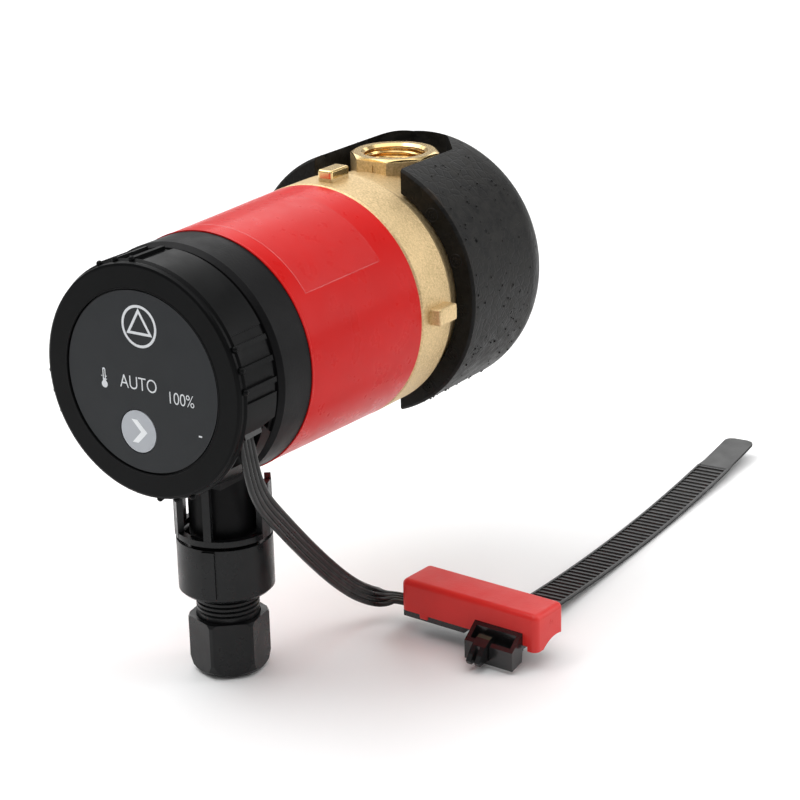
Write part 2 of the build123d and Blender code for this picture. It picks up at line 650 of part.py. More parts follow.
with BuildPart() as lead_clip:
    block(lead_start.offset(-7.0), (7.6, 6.6, 7.0))
keep(lead_clip, "lead_clip")

# ---------------------------------------------------------------- pipe temperature sensor
cover_skirt = 2.0           # the cover's long sides stop this far above the base's underside
with BuildPart() as sensor_cover:
    with BuildPart(sensor_plane.offset(0.4), mode=Mode.PRIVATE) as cover_block:
        Box(sensor_length, sensor_width, sensor_height - 0.4,
            align=(Align.CENTER, Align.CENTER, Align.MIN))
        fillet(cover_block.edges().filter_by(Axis.Z), 2.0)
        fillet(cover_block.faces().sort_by(Axis.Z)[-1].edges(), 1.9)
    add(cover_block.part)
    # the skirt reaches lower at one end only, where it is arched for the pipe
    block(on_sensor(-3.4, 0, cover_skirt - 4.0), (sensor_length, 20, 4.0), mode=Mode.SUBTRACT)
    # hollow, open below
    block(sensor_plane.offset(-1), (sensor_length - 3.4, sensor_width - 3.4, sensor_height - 0.6),
          mode=Mode.SUBTRACT)
    arch = on_sensor(sensor_length / 2 - 8.0, 3.4, -7.6)
    rod(Plane(arch.origin, z_dir=arch.x_dir), 10.6, 12.0, mode=Mode.SUBTRACT)
keep(sensor_cover, "sensor_cover")

with BuildPart() as sensor_base:
    base_length = sensor_length - 6.6
    block(on_sensor(-2.5, 0, 0), (base_length, sensor_width - 0.6, cover_skirt))
    block(on_sensor(-2.3, 0, cover_skirt), (base_length - 2.2, sensor_width - 3.8, 2.4))
    # channel for the strap, open below
    block(on_sensor(6.4, 0, -0.5), (strap_width + 3.6, 40, 2.4), mode=Mode.SUBTRACT)
keep(sensor_base, "sensor_base")

with BuildPart() as sensing_plate:
    block(on_sensor(-10.0, 0, 4.5), (16.0, 8.0, 0.6))
    rod(on_sensor(-10.0, 0, 5.1), 1.8, 2.2)
keep(sensing_plate, "sensing_plate")

# ---------------------------------------------------------------- strap and buckle
# the strap's own plane: x along the strap from its root to its tip, y across it
strap_run = Vector(strap_tip[0] - strap_root[0], strap_tip[1] - strap_root[1], 0)
strap_length = strap_run.length
strap_plane = Plane(origin=(strap_root[0], strap_root[1], rest_z), x_dir=strap_run, z_dir=(0, 0, 1))
strap_side = Plane(origin=strap_plane.origin, x_dir=strap_run, z_dir=strap_plane.y_dir * -1)
with BuildPart() as strap:
    with BuildSketch(strap_side):
        with BuildLine():
            under = ThreePointArc((0, 6.1), (strap_length * 0.5, 0.2), (strap_length, 4.6))
            upper = ThreePointArc((0, 6.1 + strap_thickness), (strap_length * 0.5, 0.2 + strap_thickness),
                                  (strap_length, 4.6 + strap_thickness))
            Line(under @ 0, upper @ 0)
            Line(under @ 1, upper @ 1)
        make_face()
    extrude(amount=strap_width / 2, both=True)
    fillet(strap.edges().filter_by(Axis.Z).sort_by(Axis(strap_plane.origin, strap_run))[-2:], 3.0)
keep(strap, "strap")

# the buckle's own plane: x along the sensor, y away from it towards the control panel
buckle_width = 17.8
pawl_width = 4.9
pawl_offset = 2.4
buckle_plane = Plane(
    sensor_plane.from_local_coords((11.95, -sensor_width / 2, 0)),
    x_dir=sensor_plane.y_dir * -1,
    z_dir=sensor_plane.x_dir * -1,
)
with BuildPart() as buckle:
    with BuildSketch(buckle_plane.offset(-buckle_width / 2)):
        with BuildLine():
            Polyline((0.1, 6.0), (5.8, 1.4), (5.8, -4.7), (0.6, -3.4), (0.1, 0.1), (-0.3, 0.1),
                     (-0.3, 1.9), (0.1, 1.9), close=True)
        make_face()
    extrude(amount=buckle_width)
    # opening for the strap, and a gap in the front wall for the pawl's lever
    with BuildSketch(buckle_plane.offset(-buckle_width / 2 + 1.5)):
        with BuildLine():
            Polyline((1.2, 8.0), (4.7, 8.0), (4.7, -6.0), (1.6, -6.0), (1.2, -2.0), close=True)
        make_face()
    extrude(amount=buckle_width - 3.0, mode=Mode.SUBTRACT)
    with BuildSketch(buckle_plane.offset(pawl_offset - pawl_width / 2 - 0.4)):
        with BuildLine():
            Polyline((3.0, 8.0), (8.0, 8.0), (8.0, -4.3), (3.0, -2.1), close=True)
        make_face()
    extrude(amount=pawl_width + 0.8, mode=Mode.SUBTRACT)
keep(buckle, "buckle")

# pawl that grips the strap's teeth, with a forked lever to release it
with BuildPart() as buckle_pawl:
    with BuildSketch(buckle_plane.offset(pawl_offset - pawl_width / 2)):
        with BuildLine():
            Polyline((1.3, 1.5), (1.3, 2.3), (2.2, 3.3), (3.6, 3.7), (5.0, 3.2), (7.4, 1.6), (9.4, -0.6),
                     (10.8, -2.6), (10.2, -3.7), (6.2, -3.2), (3.4, -0.8), close=True)
        make_face()
    extrude(amount=pawl_width)
    with BuildSketch(buckle_plane.offset(pawl_offset - 0.7)):
        with BuildLine():
            Polyline((7.4, 3.0), (14.0, 0.0), (14.0, -6.0), (8.0, -4.4), close=True)
        make_face()
    extrude(amount=1.4, mode=Mode.SUBTRACT)
keep(buckle_pawl, "buckle_pawl")

for piece in parts:
    print(piece.label, piece.is_valid, round(piece.volume / 1000, 2), "cm3")
print("lead radii", [round(radius, 1) for radius in lead_radii])
lead_length = sum(edge.length for edge in lead_path.line.edges())
print("lead length", round(lead_length, 1))
tube_volume = math.pi * (ribbon_width / 2) ** 2 * lead_length
print("lead volume", round(sensor_lead.part.volume), "of", round(tube_volume))

os.makedirs("parts", exist_ok=True)
for piece in parts:
    export_step(piece, f"parts/{piece.label}.step")
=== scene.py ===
import json
import math
import random

import bmesh
import bpy
from mathutils import Matrix, Vector


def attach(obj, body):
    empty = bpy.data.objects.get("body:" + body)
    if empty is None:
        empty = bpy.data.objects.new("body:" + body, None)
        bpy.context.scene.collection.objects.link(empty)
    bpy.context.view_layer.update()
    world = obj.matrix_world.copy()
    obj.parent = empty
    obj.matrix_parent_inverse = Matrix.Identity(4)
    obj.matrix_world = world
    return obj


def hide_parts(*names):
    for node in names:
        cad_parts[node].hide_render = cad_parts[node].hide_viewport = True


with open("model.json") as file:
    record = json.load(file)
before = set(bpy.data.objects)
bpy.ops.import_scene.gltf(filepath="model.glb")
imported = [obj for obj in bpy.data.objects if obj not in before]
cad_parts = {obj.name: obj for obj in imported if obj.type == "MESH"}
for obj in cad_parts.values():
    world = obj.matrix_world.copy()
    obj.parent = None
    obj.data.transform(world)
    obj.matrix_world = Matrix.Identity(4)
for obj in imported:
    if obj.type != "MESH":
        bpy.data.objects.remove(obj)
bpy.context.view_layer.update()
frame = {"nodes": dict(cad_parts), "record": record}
nodes = frame["nodes"]
MM = 0.001
MOTOR = Vector((0, 0, 0.04))          # a point on the motor axis, which is parallel to Y


# ------------------------------------------------------------------ materials
class Look:
    """A Principled material with its colour, gloss and relief made by noise in metres."""

    def __init__(self, name, colour, rough, metal=0.0, spec=0.5, coat=0.0):
        self.material = bpy.data.materials.new(name)
        self.material.use_nodes = True
        self.tree = self.material.node_tree
        self.shader = self.tree.nodes["Principled BSDF"]
        self.shader.inputs["Base Color"].default_value = (*colour, 1)
        self.shader.inputs["Roughness"].default_value = rough
        self.shader.inputs["Metallic"].default_value = metal
        self.shader.inputs["Specular IOR Level"].default_value = spec
        self.shader.inputs["Coat Weight"].default_value = coat
        self.shader.inputs["Coat Roughness"].default_value = 0.08
        self.place = self.node("ShaderNodeTexCoord").outputs["Object"]
        self.relief = None

    def node(self, kind, **values):
        made = self.tree.nodes.new(kind)
        for key, value in values.items():
            setattr(made, key, value)
        return made

    def link(self, a, b):
        self.tree.links.new(a, b)

    def noise(self, scale, detail=3.0, rough=0.55):
        made = self.node("ShaderNodeTexNoise")
        made.inputs["Scale"].default_value = scale
        made.inputs["Detail"].default_value = detail
        made.inputs["Roughness"].default_value = rough
        self.link(self.place, made.inputs["Vector"])
        return made.outputs["Fac"]

    def cells(self, scale, feature="F1", randomness=1.0):
        made = self.node("ShaderNodeTexVoronoi", feature=feature)
        made.inputs["Scale"].default_value = scale
        made.inputs["Randomness"].default_value = randomness
        self.link(self.place, made.inputs["Vector"])
        return made.outputs["Distance"]

    def ramp(self, source, low, high, first=0.35, second=0.65):
        made = self.node("ShaderNodeValToRGB")
        made.color_ramp.elements[0].position = first
        made.color_ramp.elements[0].color = (*low, 1)
        made.color_ramp.elements[1].position = second
        made.color_ramp.elements[1].color = (*high, 1)
        self.link(source, made.inputs["Fac"])
        return made.outputs["Color"]

    def fit(self, source, low, high, out_low=0.0, out_high=1.0):
        made = self.node("ShaderNodeMapRange")
        for key, value in (("From Min", low), ("From Max", high), ("To Min", out_low), ("To Max", out_high)):
            made.inputs[key].default_value = value
        self.link(source, made.inputs["Value"])
        return made.outputs["Result"]

    def maths(self, operation, a, b=0.0):
        made = self.node("ShaderNodeMath", operation=operation)
        for index, value in enumerate((a, b)):
            if isinstance(value, (int, float)):
                made.inputs[index].default_value = value
            else:
                self.link(value, made.inputs[index])
        return made.outputs["Value"]

    def mix(self, factor, first, second):
        made = self.node("ShaderNodeMix", data_type="RGBA")
        self.link(factor, made.inputs["Factor"])
        for index, value in ((6, first), (7, second)):
            if isinstance(value, tuple):
                made.inputs[index].default_value = (*value, 1)
            else:
                self.link(value, made.inputs[index])
        return made.outputs[2]

    def colour(self, output):
        self.link(output, self.shader.inputs["Base Color"])

    def gloss(self, output):
        self.link(output, self.shader.inputs["Roughness"])

    def bump(self, source, height, strength=1.0):
        made = self.node("ShaderNodeBump")
        made.inputs["Strength"].default_value = strength
        made.inputs["Distance"].default_value = height
        self.link(source, made.inputs["Height"])
        if self.relief:
            self.link(self.relief, made.inputs["Normal"])
        self.relief = made.outputs["Normal"]
        self.link(self.relief, self.shader.inputs["Normal"])

    def axis(self, name):
        made = self.node("ShaderNodeSeparateXYZ")
        self.link(self.place, made.inputs["Vector"])
        return made.outputs[name]


def plastic(name, colour, rough, grain=1400, depth=0.00004, lift=1.5, spec=0.5, coat=0.0, wander=0.06):
    """Moulded plastic: fine spark-eroded grain, slow colour drift and uneven gloss."""
    look = Look(name, colour, rough, spec=spec, coat=coat)
    paler = tuple(min(1.0, c * lift) for c in colour)
    look.colour(look.ramp(look.noise(55, 4), colour, paler, 0.3, 0.8))
    look.gloss(look.fit(look.noise(160, 5), 0.3, 0.7, rough - wander, rough + wander))
    look.bump(look.noise(grain, 2), depth, 0.6)
    look.bump(look.noise(38, 2), 0.0002, 0.03)
    return look


def metal(name, colour, rough, grain=900, depth=0.00003):
    look = Look(name, colour, rough, metal=1.0)
    darker = tuple(c * 0.75 for c in colour)
    look.colour(look.ramp(look.noise(120, 4), darker, colour))
    look.gloss(look.fit(look.noise(300, 4), 0.3, 0.7, rough - 0.08, rough + 0.08))
    look.bump(look.noise(grain, 3), depth, 0.5)
    return look


looks = {}

# bead-blasted casting, with machined port mouths and bores
brass = Look("cast_brass", (0.62, 0.42, 0.17), 0.42, metal=0.92)
sand = brass.noise(1500, 4, 0.7)
blotch = brass.noise(70, 5)
cast_colour = brass.ramp(sand, (0.40, 0.27, 0.115), (0.90, 0.71, 0.42), 0.28, 0.72)
cast_colour = brass.mix(brass.fit(blotch, 0.35, 0.7, 0.0, 0.45), cast_colour, (0.84, 0.64, 0.36))
height = brass.maths("ABSOLUTE", brass.maths("SUBTRACT", brass.axis("Z"), 0.04))
across = brass.maths("ADD", brass.maths("POWER", brass.axis("X"), 2.0),
                     brass.maths("POWER", brass.axis("Y"), 2.0))
in_bore = brass.maths("MULTIPLY", brass.maths("LESS_THAN", across, 0.0107 ** 2),
                      brass.maths("GREATER_THAN", height, 0.026))
machined = brass.maths("MAXIMUM", in_bore, brass.maths("GREATER_THAN", height, 0.0391))
brass.colour(brass.mix(machined, cast_colour, (0.83, 0.60, 0.27)))
turned_lines = brass.node("ShaderNodeTexWave", wave_type="RINGS", rings_direction="Z")
turned_lines.inputs["Scale"].default_value = 900
turned_lines.inputs["Distortion"].default_value = 1.5
brass.link(brass.place, turned_lines.inputs["Vector"])
cast_gloss = brass.fit(sand, 0.3, 0.7, 0.40, 0.58)
brass_gloss = brass.node("ShaderNodeMix", data_type="FLOAT")
brass.link(machined, brass_gloss.inputs["Factor"])
brass.link(cast_gloss, brass_gloss.inputs[2])
brass_gloss.inputs[3].default_value = 0.2
brass.gloss(brass_gloss.outputs[0])
cast_only = brass.maths("SUBTRACT", 1.0, machined)
brass.bump(brass.maths("MULTIPLY", sand, cast_only), 0.00028, 0.75)
brass.bump(brass.maths("MULTIPLY", turned_lines.outputs["Fac"], machined), 0.00001, 0.3)
looks["cast_brass"] = brass

thread_brass = Look("machined_brass", (0.80, 0.53, 0.20), 0.16, metal=1.0)
thread_brass.colour(thread_brass.ramp(thread_brass.noise(400, 3), (0.62, 0.36, 0.12), (0.86, 0.60, 0.26)))
thread_brass.gloss(thread_brass.fit(thread_brass.noise(900, 2), 0.3, 0.7, 0.12, 0.24))
looks["machined_brass"] = thread_brass

# expanded bead foam: faint bead outlines, open pits with painted shade in them, a scuffed skin, a painted
# brass reflection on the upper front edge and painted shade on the front face
foam = Look("shell_foam", (0.014, 0.014, 0.014), 0.5, spec=0.14)
beads = foam.cells(330, "DISTANCE_TO_EDGE")
pit_relief_and_shade = foam.fit(foam.cells(205), 0.10, 0.145)
rare = foam.fit(foam.noise(90, 2), 0.50, 0.54, 1.0, 0.0)
pit_relief_and_shade = foam.maths("MAXIMUM", pit_relief_and_shade, rare)
scuff = foam.noise(240, 6, 0.65)
skin = foam.ramp(scuff, (0.007, 0.007, 0.007), (0.026, 0.025, 0.023), 0.38, 0.75)
# painted reflection of the brass ring: a brownish tint in patches on the shell's front edge, upper half only
painted_brass_reflection = foam.maths("MULTIPLY", foam.fit(foam.noise(60, 4), 0.45, 0.65),
                  foam.fit(foam.axis("Y"), -0.0214, -0.0195, 1.0, 0.0))
painted_brass_reflection = foam.maths("MULTIPLY", painted_brass_reflection, foam.fit(foam.axis("Z"), 0.05, 0.075))
skin = foam.mix(painted_brass_reflection, skin, (0.075, 0.042, 0.016))
# painted shade: the shell's front face, turned away from the lamps behind the brass ring, is darkened
# towards near-black
painted_front_shade = foam.fit(foam.axis("Y"), -0.0213, -0.0205, 0.35, 1.0)
skin = foam.mix(painted_front_shade, (0.002, 0.002, 0.002), skin)
# the pits and the rare large patches are painted near-black: painted shade in the hollows, on top of their
# bump relief
foam.colour(foam.mix(pit_relief_and_shade, (0.001, 0.001, 0.001), skin))
foam.gloss(foam.fit(scuff, 0.35, 0.7, 0.38, 0.6))
foam.bump(foam.fit(beads, 0.0, 0.12), 0.00015, 0.35)
foam.bump(pit_relief_and_shade, 0.0006, 0.9)
foam.bump(foam.noise(900, 4), 0.00006, 0.7)
foam.bump(foam.noise(60, 3), 0.0012, 0.22)
looks["shell_foam"] = foam

looks["sleeve_red"] = plastic("sleeve_red", (0.54, 0.006, 0.005), 0.3, 900, 0.00002, 1.1, spec=0.12)
looks["box_black"] = plastic("box_black", (0.0050, 0.0050, 0.0054), 0.4, 1300, 0.00005, 1.5, spec=0.09)
looks["cover_black"] = plastic("cover_black", (0.0030, 0.0032, 0.0034), 0.34, 1500, 0.00002, 1.5, spec=0.08)
looks["plug_black"] = plastic("plug_black", (0.0055, 0.0058, 0.0062), 0.3, 1100, 0.00004, 2.1,
                              spec=0.24, wander=0.1)
looks["label_black"] = plastic("label_black", (0.0042, 0.0060, 0.0080), 0.34, 3000, 0.00001, 1.3, spec=0.30)
looks["button_grey"] = plastic("button_grey", (0.40, 0.42, 0.45), 0.4, 2500, 0.00001, 1.12)
looks["arrow_white"] = plastic("arrow_white", (0.82, 0.84, 0.86), 0.4, 2500, 0.00001, 1.05)
looks["print_white"] = plastic("print_white", (0.66, 0.68, 0.70), 0.45, 2500, 0.00001, 1.08)
looks["lead_black"] = plastic("lead_black", (0.0065, 0.0065, 0.0065), 0.34, 1600, 0.00003, 2.2,
                              spec=0.35, wander=0.12)
looks["sensor_red"] = plastic("sensor_red", (0.64, 0.022, 0.018), 0.4, 1200, 0.00007, 1.15, spec=0.4)
looks["sensor_black"] = plastic("sensor_black", (0.0075, 0.0075, 0.0078), 0.22, 1200, 0.00003, 2.0,
                                spec=0.6, wander=0.04)
looks["strap_black"] = plastic("strap_black", (0.0065, 0.0065, 0.0065), 0.35, 1600, 0.00003, 2.0, spec=0.5)
looks["composite"] = plastic("composite", (0.02, 0.02, 0.02), 0.5)
looks["former"] = plastic("former", (0.55, 0.51, 0.38), 0.45)
looks["ceramic"] = plastic("ceramic", (0.72, 0.70, 0.64), 0.22, 2000, 0.00001, 1.1)
looks["carbon"] = plastic("carbon", (0.02, 0.02, 0.02), 0.5, 1000, 0.00004)
looks["magnet"] = plastic("magnet", (0.04, 0.04, 0.045), 0.45, 1500, 0.00005)
looks["seal_rubber"] = plastic("seal_rubber", (0.012, 0.012, 0.012), 0.6, 900, 0.00005)
looks["board_green"] = plastic("board_green", (0.012, 0.10, 0.03), 0.35, 1500, 0.00003)
looks["component_black"] = plastic("component_black", (0.012, 0.012, 0.012), 0.5)
looks["led"] = plastic("led", (0.65, 0.65, 0.58), 0.2, 2000, 0.00001, 1.1)
looks["stainless"] = metal("stainless", (0.55, 0.55, 0.56), 0.3)
looks["plated_steel"] = metal("plated_steel", (0.58, 0.56, 0.50), 0.36)
looks["lamination"] = metal("lamination", (0.24, 0.24, 0.26), 0.45)
looks["copper"] = metal("copper", (0.60, 0.22, 0.09), 0.35)
looks["contact_metal"] = metal("contact_metal", (0.66, 0.63, 0.56), 0.3)
looks["component_metal"] = metal("component_metal", (0.60, 0.60, 0.62), 0.28)
looks["sensing_copper"] = metal("sensing_copper", (0.58, 0.38, 0.18), 0.34)

film = Look("label_film", (0.95, 0.90, 0.90), 0.22, spec=0.5)
film.shader.inputs["Alpha"].default_value = 0.02
film.colour(film.ramp(film.noise(300, 3), (0.9, 0.8, 0.8), (1.0, 0.95, 0.95)))
film.bump(film.noise(180, 2), 0.0002, 0.06)
looks["film"] = film
film_edge = Look("label_film_edge", (0.85, 0.45, 0.45), 0.35)
film_edge.shader.inputs["Alpha"].default_value = 0.22
film_edge.colour(film_edge.ramp(film_edge.noise(500, 3), (0.75, 0.3, 0.3), (0.95, 0.6, 0.6)))
looks["film_edge"] = film_edge

for entry in frame["record"]["subparts"]:
    node = nodes[entry["node"]]
    node.data.materials.clear()
    node.data.materials.append(looks[entry["material_slot"]].material)


# ------------------------------------------------------------------ mesh helpers
def piece(name, vertices, faces, look, body="pump", smooth=True):
    mesh = bpy.data.meshes.new(name)
    mesh.from_pydata([tuple(v) for v in vertices], [], faces)
    made = bpy.data.objects.new(name, mesh)
    bpy.context.scene.collection.objects.link(made)
    work = bmesh.new()
    work.from_mesh(mesh)
    bmesh.ops.remove_doubles(work, verts=work.verts, dist=1e-7)
    bmesh.ops.recalc_face_normals(work, faces=work.faces)
    work.to_mesh(mesh)
    work.free()
    if smooth:
        mesh.shade_smooth()
    mesh.materials.append(looks[look].material)
    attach(made, body)
    return made


def soften(obj, angle=35):
    """Smooth shading that keeps edges sharper than the angle."""
    obj.data.set_sharp_from_angle(angle=math.radians(angle))


def loft(rings, closed=True, caps=True):
    """Vertices and faces of a skin over rings with equal numbers of points."""
    count = len(rings[0])
    vertices = [p for ring in rings for p in ring]
    faces = []
    for i in range(len(rings) - 1):
        for j in range(count if closed else count - 1):
            k = (j + 1) % count
            faces.append((i * count + j, i * count + k, (i + 1) * count + k, (i + 1) * count + j))
    if caps:
        faces.append(tuple(range(count)))
        faces.append(tuple((len(rings) - 1) * count + j for j in range(count)))
    return vertices, faces


def around(angle, radius, y):
    """Point at an angle from straight up towards +X about the motor axis, in metres."""
    turn = math.radians(angle)
    return Vector((math.sin(turn) * radius, y, 0.04 + math.cos(turn) * radius))


# ------------------------------------------------------------------ pipe threads in the ports
def port_thread(name, mouth, inward, depth):
    """Internal pipe thread: a helical groove of 1.814 mm pitch just inside the bore's wall."""
    pitch, crest, root = 1.814 * MM, 9.32 * MM, 9.86 * MM
    around_count, steps = 72, int(depth / (pitch / 8))
    rings = []
    for i in range(steps + 1):
        along = depth * i / steps
        ring = []
        for j in range(around_count):
            share = (along / pitch + j / around_count) % 1.0
            tooth = abs(share * 2 - 1)
            radius = crest + (root - crest) * min(1.0, max(0.0, (tooth - 0.12) / 0.76))
            if along < 0.6 * MM or i == steps:
                radius = max(radius, root - 0.02 * MM)
            turn = 2 * math.pi * j / around_count
            ring.append(Vector((radius * math.cos(turn), radius * math.sin(turn), mouth + inward * along)))
        rings.append(ring)
    vertices, faces = loft(rings, caps=False)
    made = piece(name, vertices, faces, "machined_brass", smooth=True)
    return made


port_thread("outlet_thread", 0.0791, -1, 11.0 * MM)
port_thread("inlet_thread", 0.0004, 1, 11.4 * MM)

# ------------------------------------------------------------------ shell: vent marks and nubs
random.seed(7)
vertices, faces = [], []


def add_dome(centre, normal, radius, height, sides=8):
    """A small rounded bump on a surface."""
    normal = normal.normalized()
    side = normal.orthogonal().normalized()
    other = normal.cross(side)
    start = len(vertices)
    levels = ((1.0, -0.3), (0.92, 0.35), (0.6, 0.8))
    for scale, lift in levels:
        for k in range(sides):
            turn = 2 * math.pi * k / sides
            vertices.append(centre + (side * math.cos(turn) + other * math.sin(turn)) * radius * scale
                            + normal * height * lift)
    vertices.append(centre + normal * height)
    for level in range(2):
        for k in range(sides):
            a = start + level * sides + k
            b = start + level * sides + (k + 1) % sides
            faces.append((a, b, b + sides, a + sides))
    for k in range(sides):
        faces.append((start + 2 * sides + k, start + 2 * sides + (k + 1) % sides, start + 3 * sides))


def add_ring(centre, normal, radius, width, height, sides=28):
    normal = normal.normalized()
    side = normal.orthogonal().normalized()
    other = normal.cross(side)
    start = len(vertices)
    for k in range(sides):
        turn = 2 * math.pi * k / sides
        out = side * math.cos(turn) + other * math.sin(turn)
        for reach, lift in ((radius - width, -0.3), (radius - width * 0.3, 1.0), (radius + width * 0.3, 1.0),
                            (radius + width, -0.3)):
            vertices.append(centre + out * reach + normal * height * lift)
    for k in range(sides):
        for j in range(3):
            a = start + k * 4 + j
            b = start + ((k + 1) % sides) * 4 + j
            faces.append((a, b, b + 1, a + 1))


SHELL_R = 42.9
SHELL_LIFT = Vector((0, 0, 0.6 * MM))   # the shell is turned about a slightly higher axis
SHELL_FRONT = -21.5 * MM
SLOT_HALF = 18                          # no nubs this close to the middle of the port slots
NUBS = 330
front = Vector((0, -1, 0))
for side in (1, -1):
    for angle in (46, 70, 94, 117, 140):
        centre = around(side * angle, 38.6 * MM, SHELL_FRONT)
        add_ring(centre, front, 2.1 * MM, 0.24 * MM, 0.2 * MM)
        for k in range(6):
            turn = 2 * math.pi * k / 6 + 0.3
            offset = Vector((math.cos(turn), 0, math.sin(turn))) * (1.05 * MM if k else 0.0)
            add_dome(centre + offset, front, 0.3 * MM, 0.28 * MM)
piece("shell_vents", vertices, faces, "shell_foam", "insulation")

vertices, faces = [], []
for _ in range(NUBS):
    angle = random.uniform(-180, 180)
    y = random.uniform(-20.5, 14.0) * MM
    if abs(math.sin(math.radians(angle))) * SHELL_R < SLOT_HALF:
        continue
    out = around(angle, 1.0, 0) - MOTOR
    size = random.uniform(0.22, 0.48) * MM
    foot = around(angle, (SHELL_R - 0.05) * MM, y) + SHELL_LIFT
    add_dome(foot, Vector((out.x, 0, out.z)), size, size * random.uniform(0.7, 1.3), 7)
piece("shell_nubs", vertices, faces, "shell_foam", "insulation")

# ------------------------------------------------------------------ clear label film on the sleeve
def sleeve_r(y):
    return (36.6 + (y + 98.5) / 54.5 * 1.3) * MM


def film_mesh(lift):
    """Film wrapped on the sleeve, with rounded corners."""
    y0, y1, a0, a1 = -93.0, -56.0, -48.0, 56.0
    corner = 2.0
    columns, rows = 84, 30
    vertices, faces = [], []
    for i in range(columns + 1):
        a = a0 + (a1 - a0) * i / columns
        edge = min(a - a0, a1 - a) * math.radians(1) * 37.2
        cut = corner - math.sqrt(max(0.0, corner ** 2 - max(0.0, corner - edge) ** 2))
        for j in range(rows + 1):
            y = y0 + cut + (y1 - y0 - 2 * cut) * j / rows
            vertices.append(around(a, sleeve_r(y) + lift, y * MM))
    for i in range(columns):
        for j in range(rows):
            k = i * (rows + 1) + j
            faces.append((k, k + rows + 1, k + rows + 2, k + 1))
    return vertices, faces


vertices, faces = film_mesh(0.10 * MM)
film_sheet = piece("rating_film_sheet", vertices, faces, "film")
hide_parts("rating_film")

# raised border of the film, catching the light
border = []
for a in [-48 + 104 * k / 90 for k in range(91)]:
    border.append((a, -56.0))
for y in [-56.0 - 37.0 * k / 40 for k in range(1, 41)]:
    border.append((56.0, y))
for a in [56 - 104 * k / 90 for k in range(1, 91)]:
    border.append((a, -93.0))
for y in [-93.0 + 37.0 * k / 40 for k in range(1, 40)]:
    border.append((-48.0, y))
vertices, faces = [], []
for index, (a, y) in enumerate(border):
    inward_a = 0.35 if a == -48 else (-0.35 if a == 56 else 0.0)
    inward_y = 0.22 if y == -93 else (-0.22 if y == -56 else 0.0)
    vertices.append(around(a, sleeve_r(y) + 0.04 * MM, y * MM))
    vertices.append(around(a + inward_a, sleeve_r(y + inward_y) + 0.13 * MM, (y + inward_y) * MM))
for index in range(len(border)):
    following = (index + 1) % len(border)
    faces.append((2 * index, 2 * following, 2 * following + 1, 2 * index + 1))
piece("rating_film_border", vertices, faces, "film_edge")

# ------------------------------------------------------------------ printed marks on the panel
PANEL = -131.2 * MM
PRINT_FRONT = PANEL - 0.03 * MM


def flat_outline(name, loops, look="print_white", y=PRINT_FRONT):
    """Flat print on the panel from closed loops of (x, z) in millimetres about the motor axis."""
    curve = bpy.data.curves.new(name, "CURVE")
    curve.dimensions = "2D"
    curve.fill_mode = "BOTH"
    for loop in loops:
        spline = curve.splines.new("POLY")
        spline.points.add(len(loop) - 1)
        for point, (x, z) in zip(spline.points, loop):
            point.co = (x * MM, z * MM, 0, 1)
        spline.use_cyclic_u = True
    made = bpy.data.objects.new(name, curve)
    return to_mesh(made, look, y)


def to_mesh(made, look, y):
    """Turn a flat curve or text into print that stands on the panel."""
    bpy.context.scene.collection.objects.link(made)
    bpy.context.view_layer.update()
    mesh = bpy.data.meshes.new_from_object(made.evaluated_get(bpy.context.evaluated_depsgraph_get()))
    mesh.transform(made.matrix_world)
    name = made.name
    bpy.data.objects.remove(made)
    # the print's own plane is X to the right and Y up; it faces -Y on the panel
    mesh.transform(Matrix(((1, 0, 0, 0), (0, 0, -1, y), (0, 1, 0, 0.04), (0, 0, 0, 1))))
    mesh.materials.clear()
    mesh.materials.append(looks[look].material)
    final = bpy.data.objects.new(name, mesh)
    bpy.context.scene.collection.objects.link(final)
    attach(final, "pump")
    return final


def words(name, text, x, z, size, stretch=1.0):
    """Generic setting marks, such as the 100 % end of the scale."""
    letters = bpy.data.curves.new(name, "FONT")
    letters.body = text
    letters.size = size * MM
    letters.align_x = "CENTER"
    letters.align_y = "CENTER"
    letters.offset = -0.00004
    letters.space_character = 0.98
    made = bpy.data.objects.new(name, letters)
    made.location = (x * MM, z * MM, 0)
    made.scale = (stretch, 1, 1)
    return to_mesh(made, "print_white", PRINT_FRONT)


def disc(x, z, radius, sides=40, start=0.0, sweep=360.0):
    return [(x + radius * math.cos(math.radians(start + sweep * k / sides)),
             z + radius * math.sin(math.radians(start + sweep * k / sides))) for k in range(sides)]


words("mark_auto", "AUTO", -1.3, -0.8, 5.75, 0.86)
words("mark_full", "100%", 13.8, -3.0, 5.2, 0.88)
# thermometer
bulb_z, tube_top, tube_half, bulb_r = -2.7, 1.7, 0.54, 1.1
angle = math.degrees(math.asin(tube_half / bulb_r))
loop = disc(-13.9, bulb_z, bulb_r, 30, 90 + angle, 360 - 2 * angle)
loop += [(-13.9 + tube_half, bulb_z + 1.0)]
loop += disc(-13.9, tube_top, tube_half, 12, 0, 180)
loop += [(-13.9 - tube_half, tube_top), (-13.9 - tube_half, bulb_z + 1.0)]
slit = [(-14.1, -1.0), (-13.7, -1.0), (-13.7, tube_top), (-14.1, tube_top)]
flat_outline("mark_thermometer", [loop, slit])
ticks = []
for x, z in ((-14.8, -0.3), (-13.15, -0.3), (-13.15, -1.2)):
    ticks.append([(x - 0.18, z - 0.13), (x + 0.18, z - 0.13), (x + 0.18, z + 0.13), (x - 0.18, z + 0.13)])
flat_outline("mark_thermometer_ticks", ticks)
# plain pump symbol, a triangle in a circle, standing over the settings
flat_outline("mark_pump_ring", [disc(0.2, 16.6, 6.3, 64), disc(0.2, 16.6, 5.5, 64)])
flat_outline("mark_pump_triangle", [[(0.2, 22.0), (-4.5, 14.1), (4.9, 14.1)],
                                    [(0.2, 20.4), (-3.1, 14.9), (3.5, 14.9)]])
flat_outline("mark_lamp_left", [disc(-21.0, -18.3, 0.38, 14)])
flat_outline("mark_lamp_right", [[(19.6, -12.9), (20.8, -12.9), (20.8, -12.4), (19.6, -12.4)]])

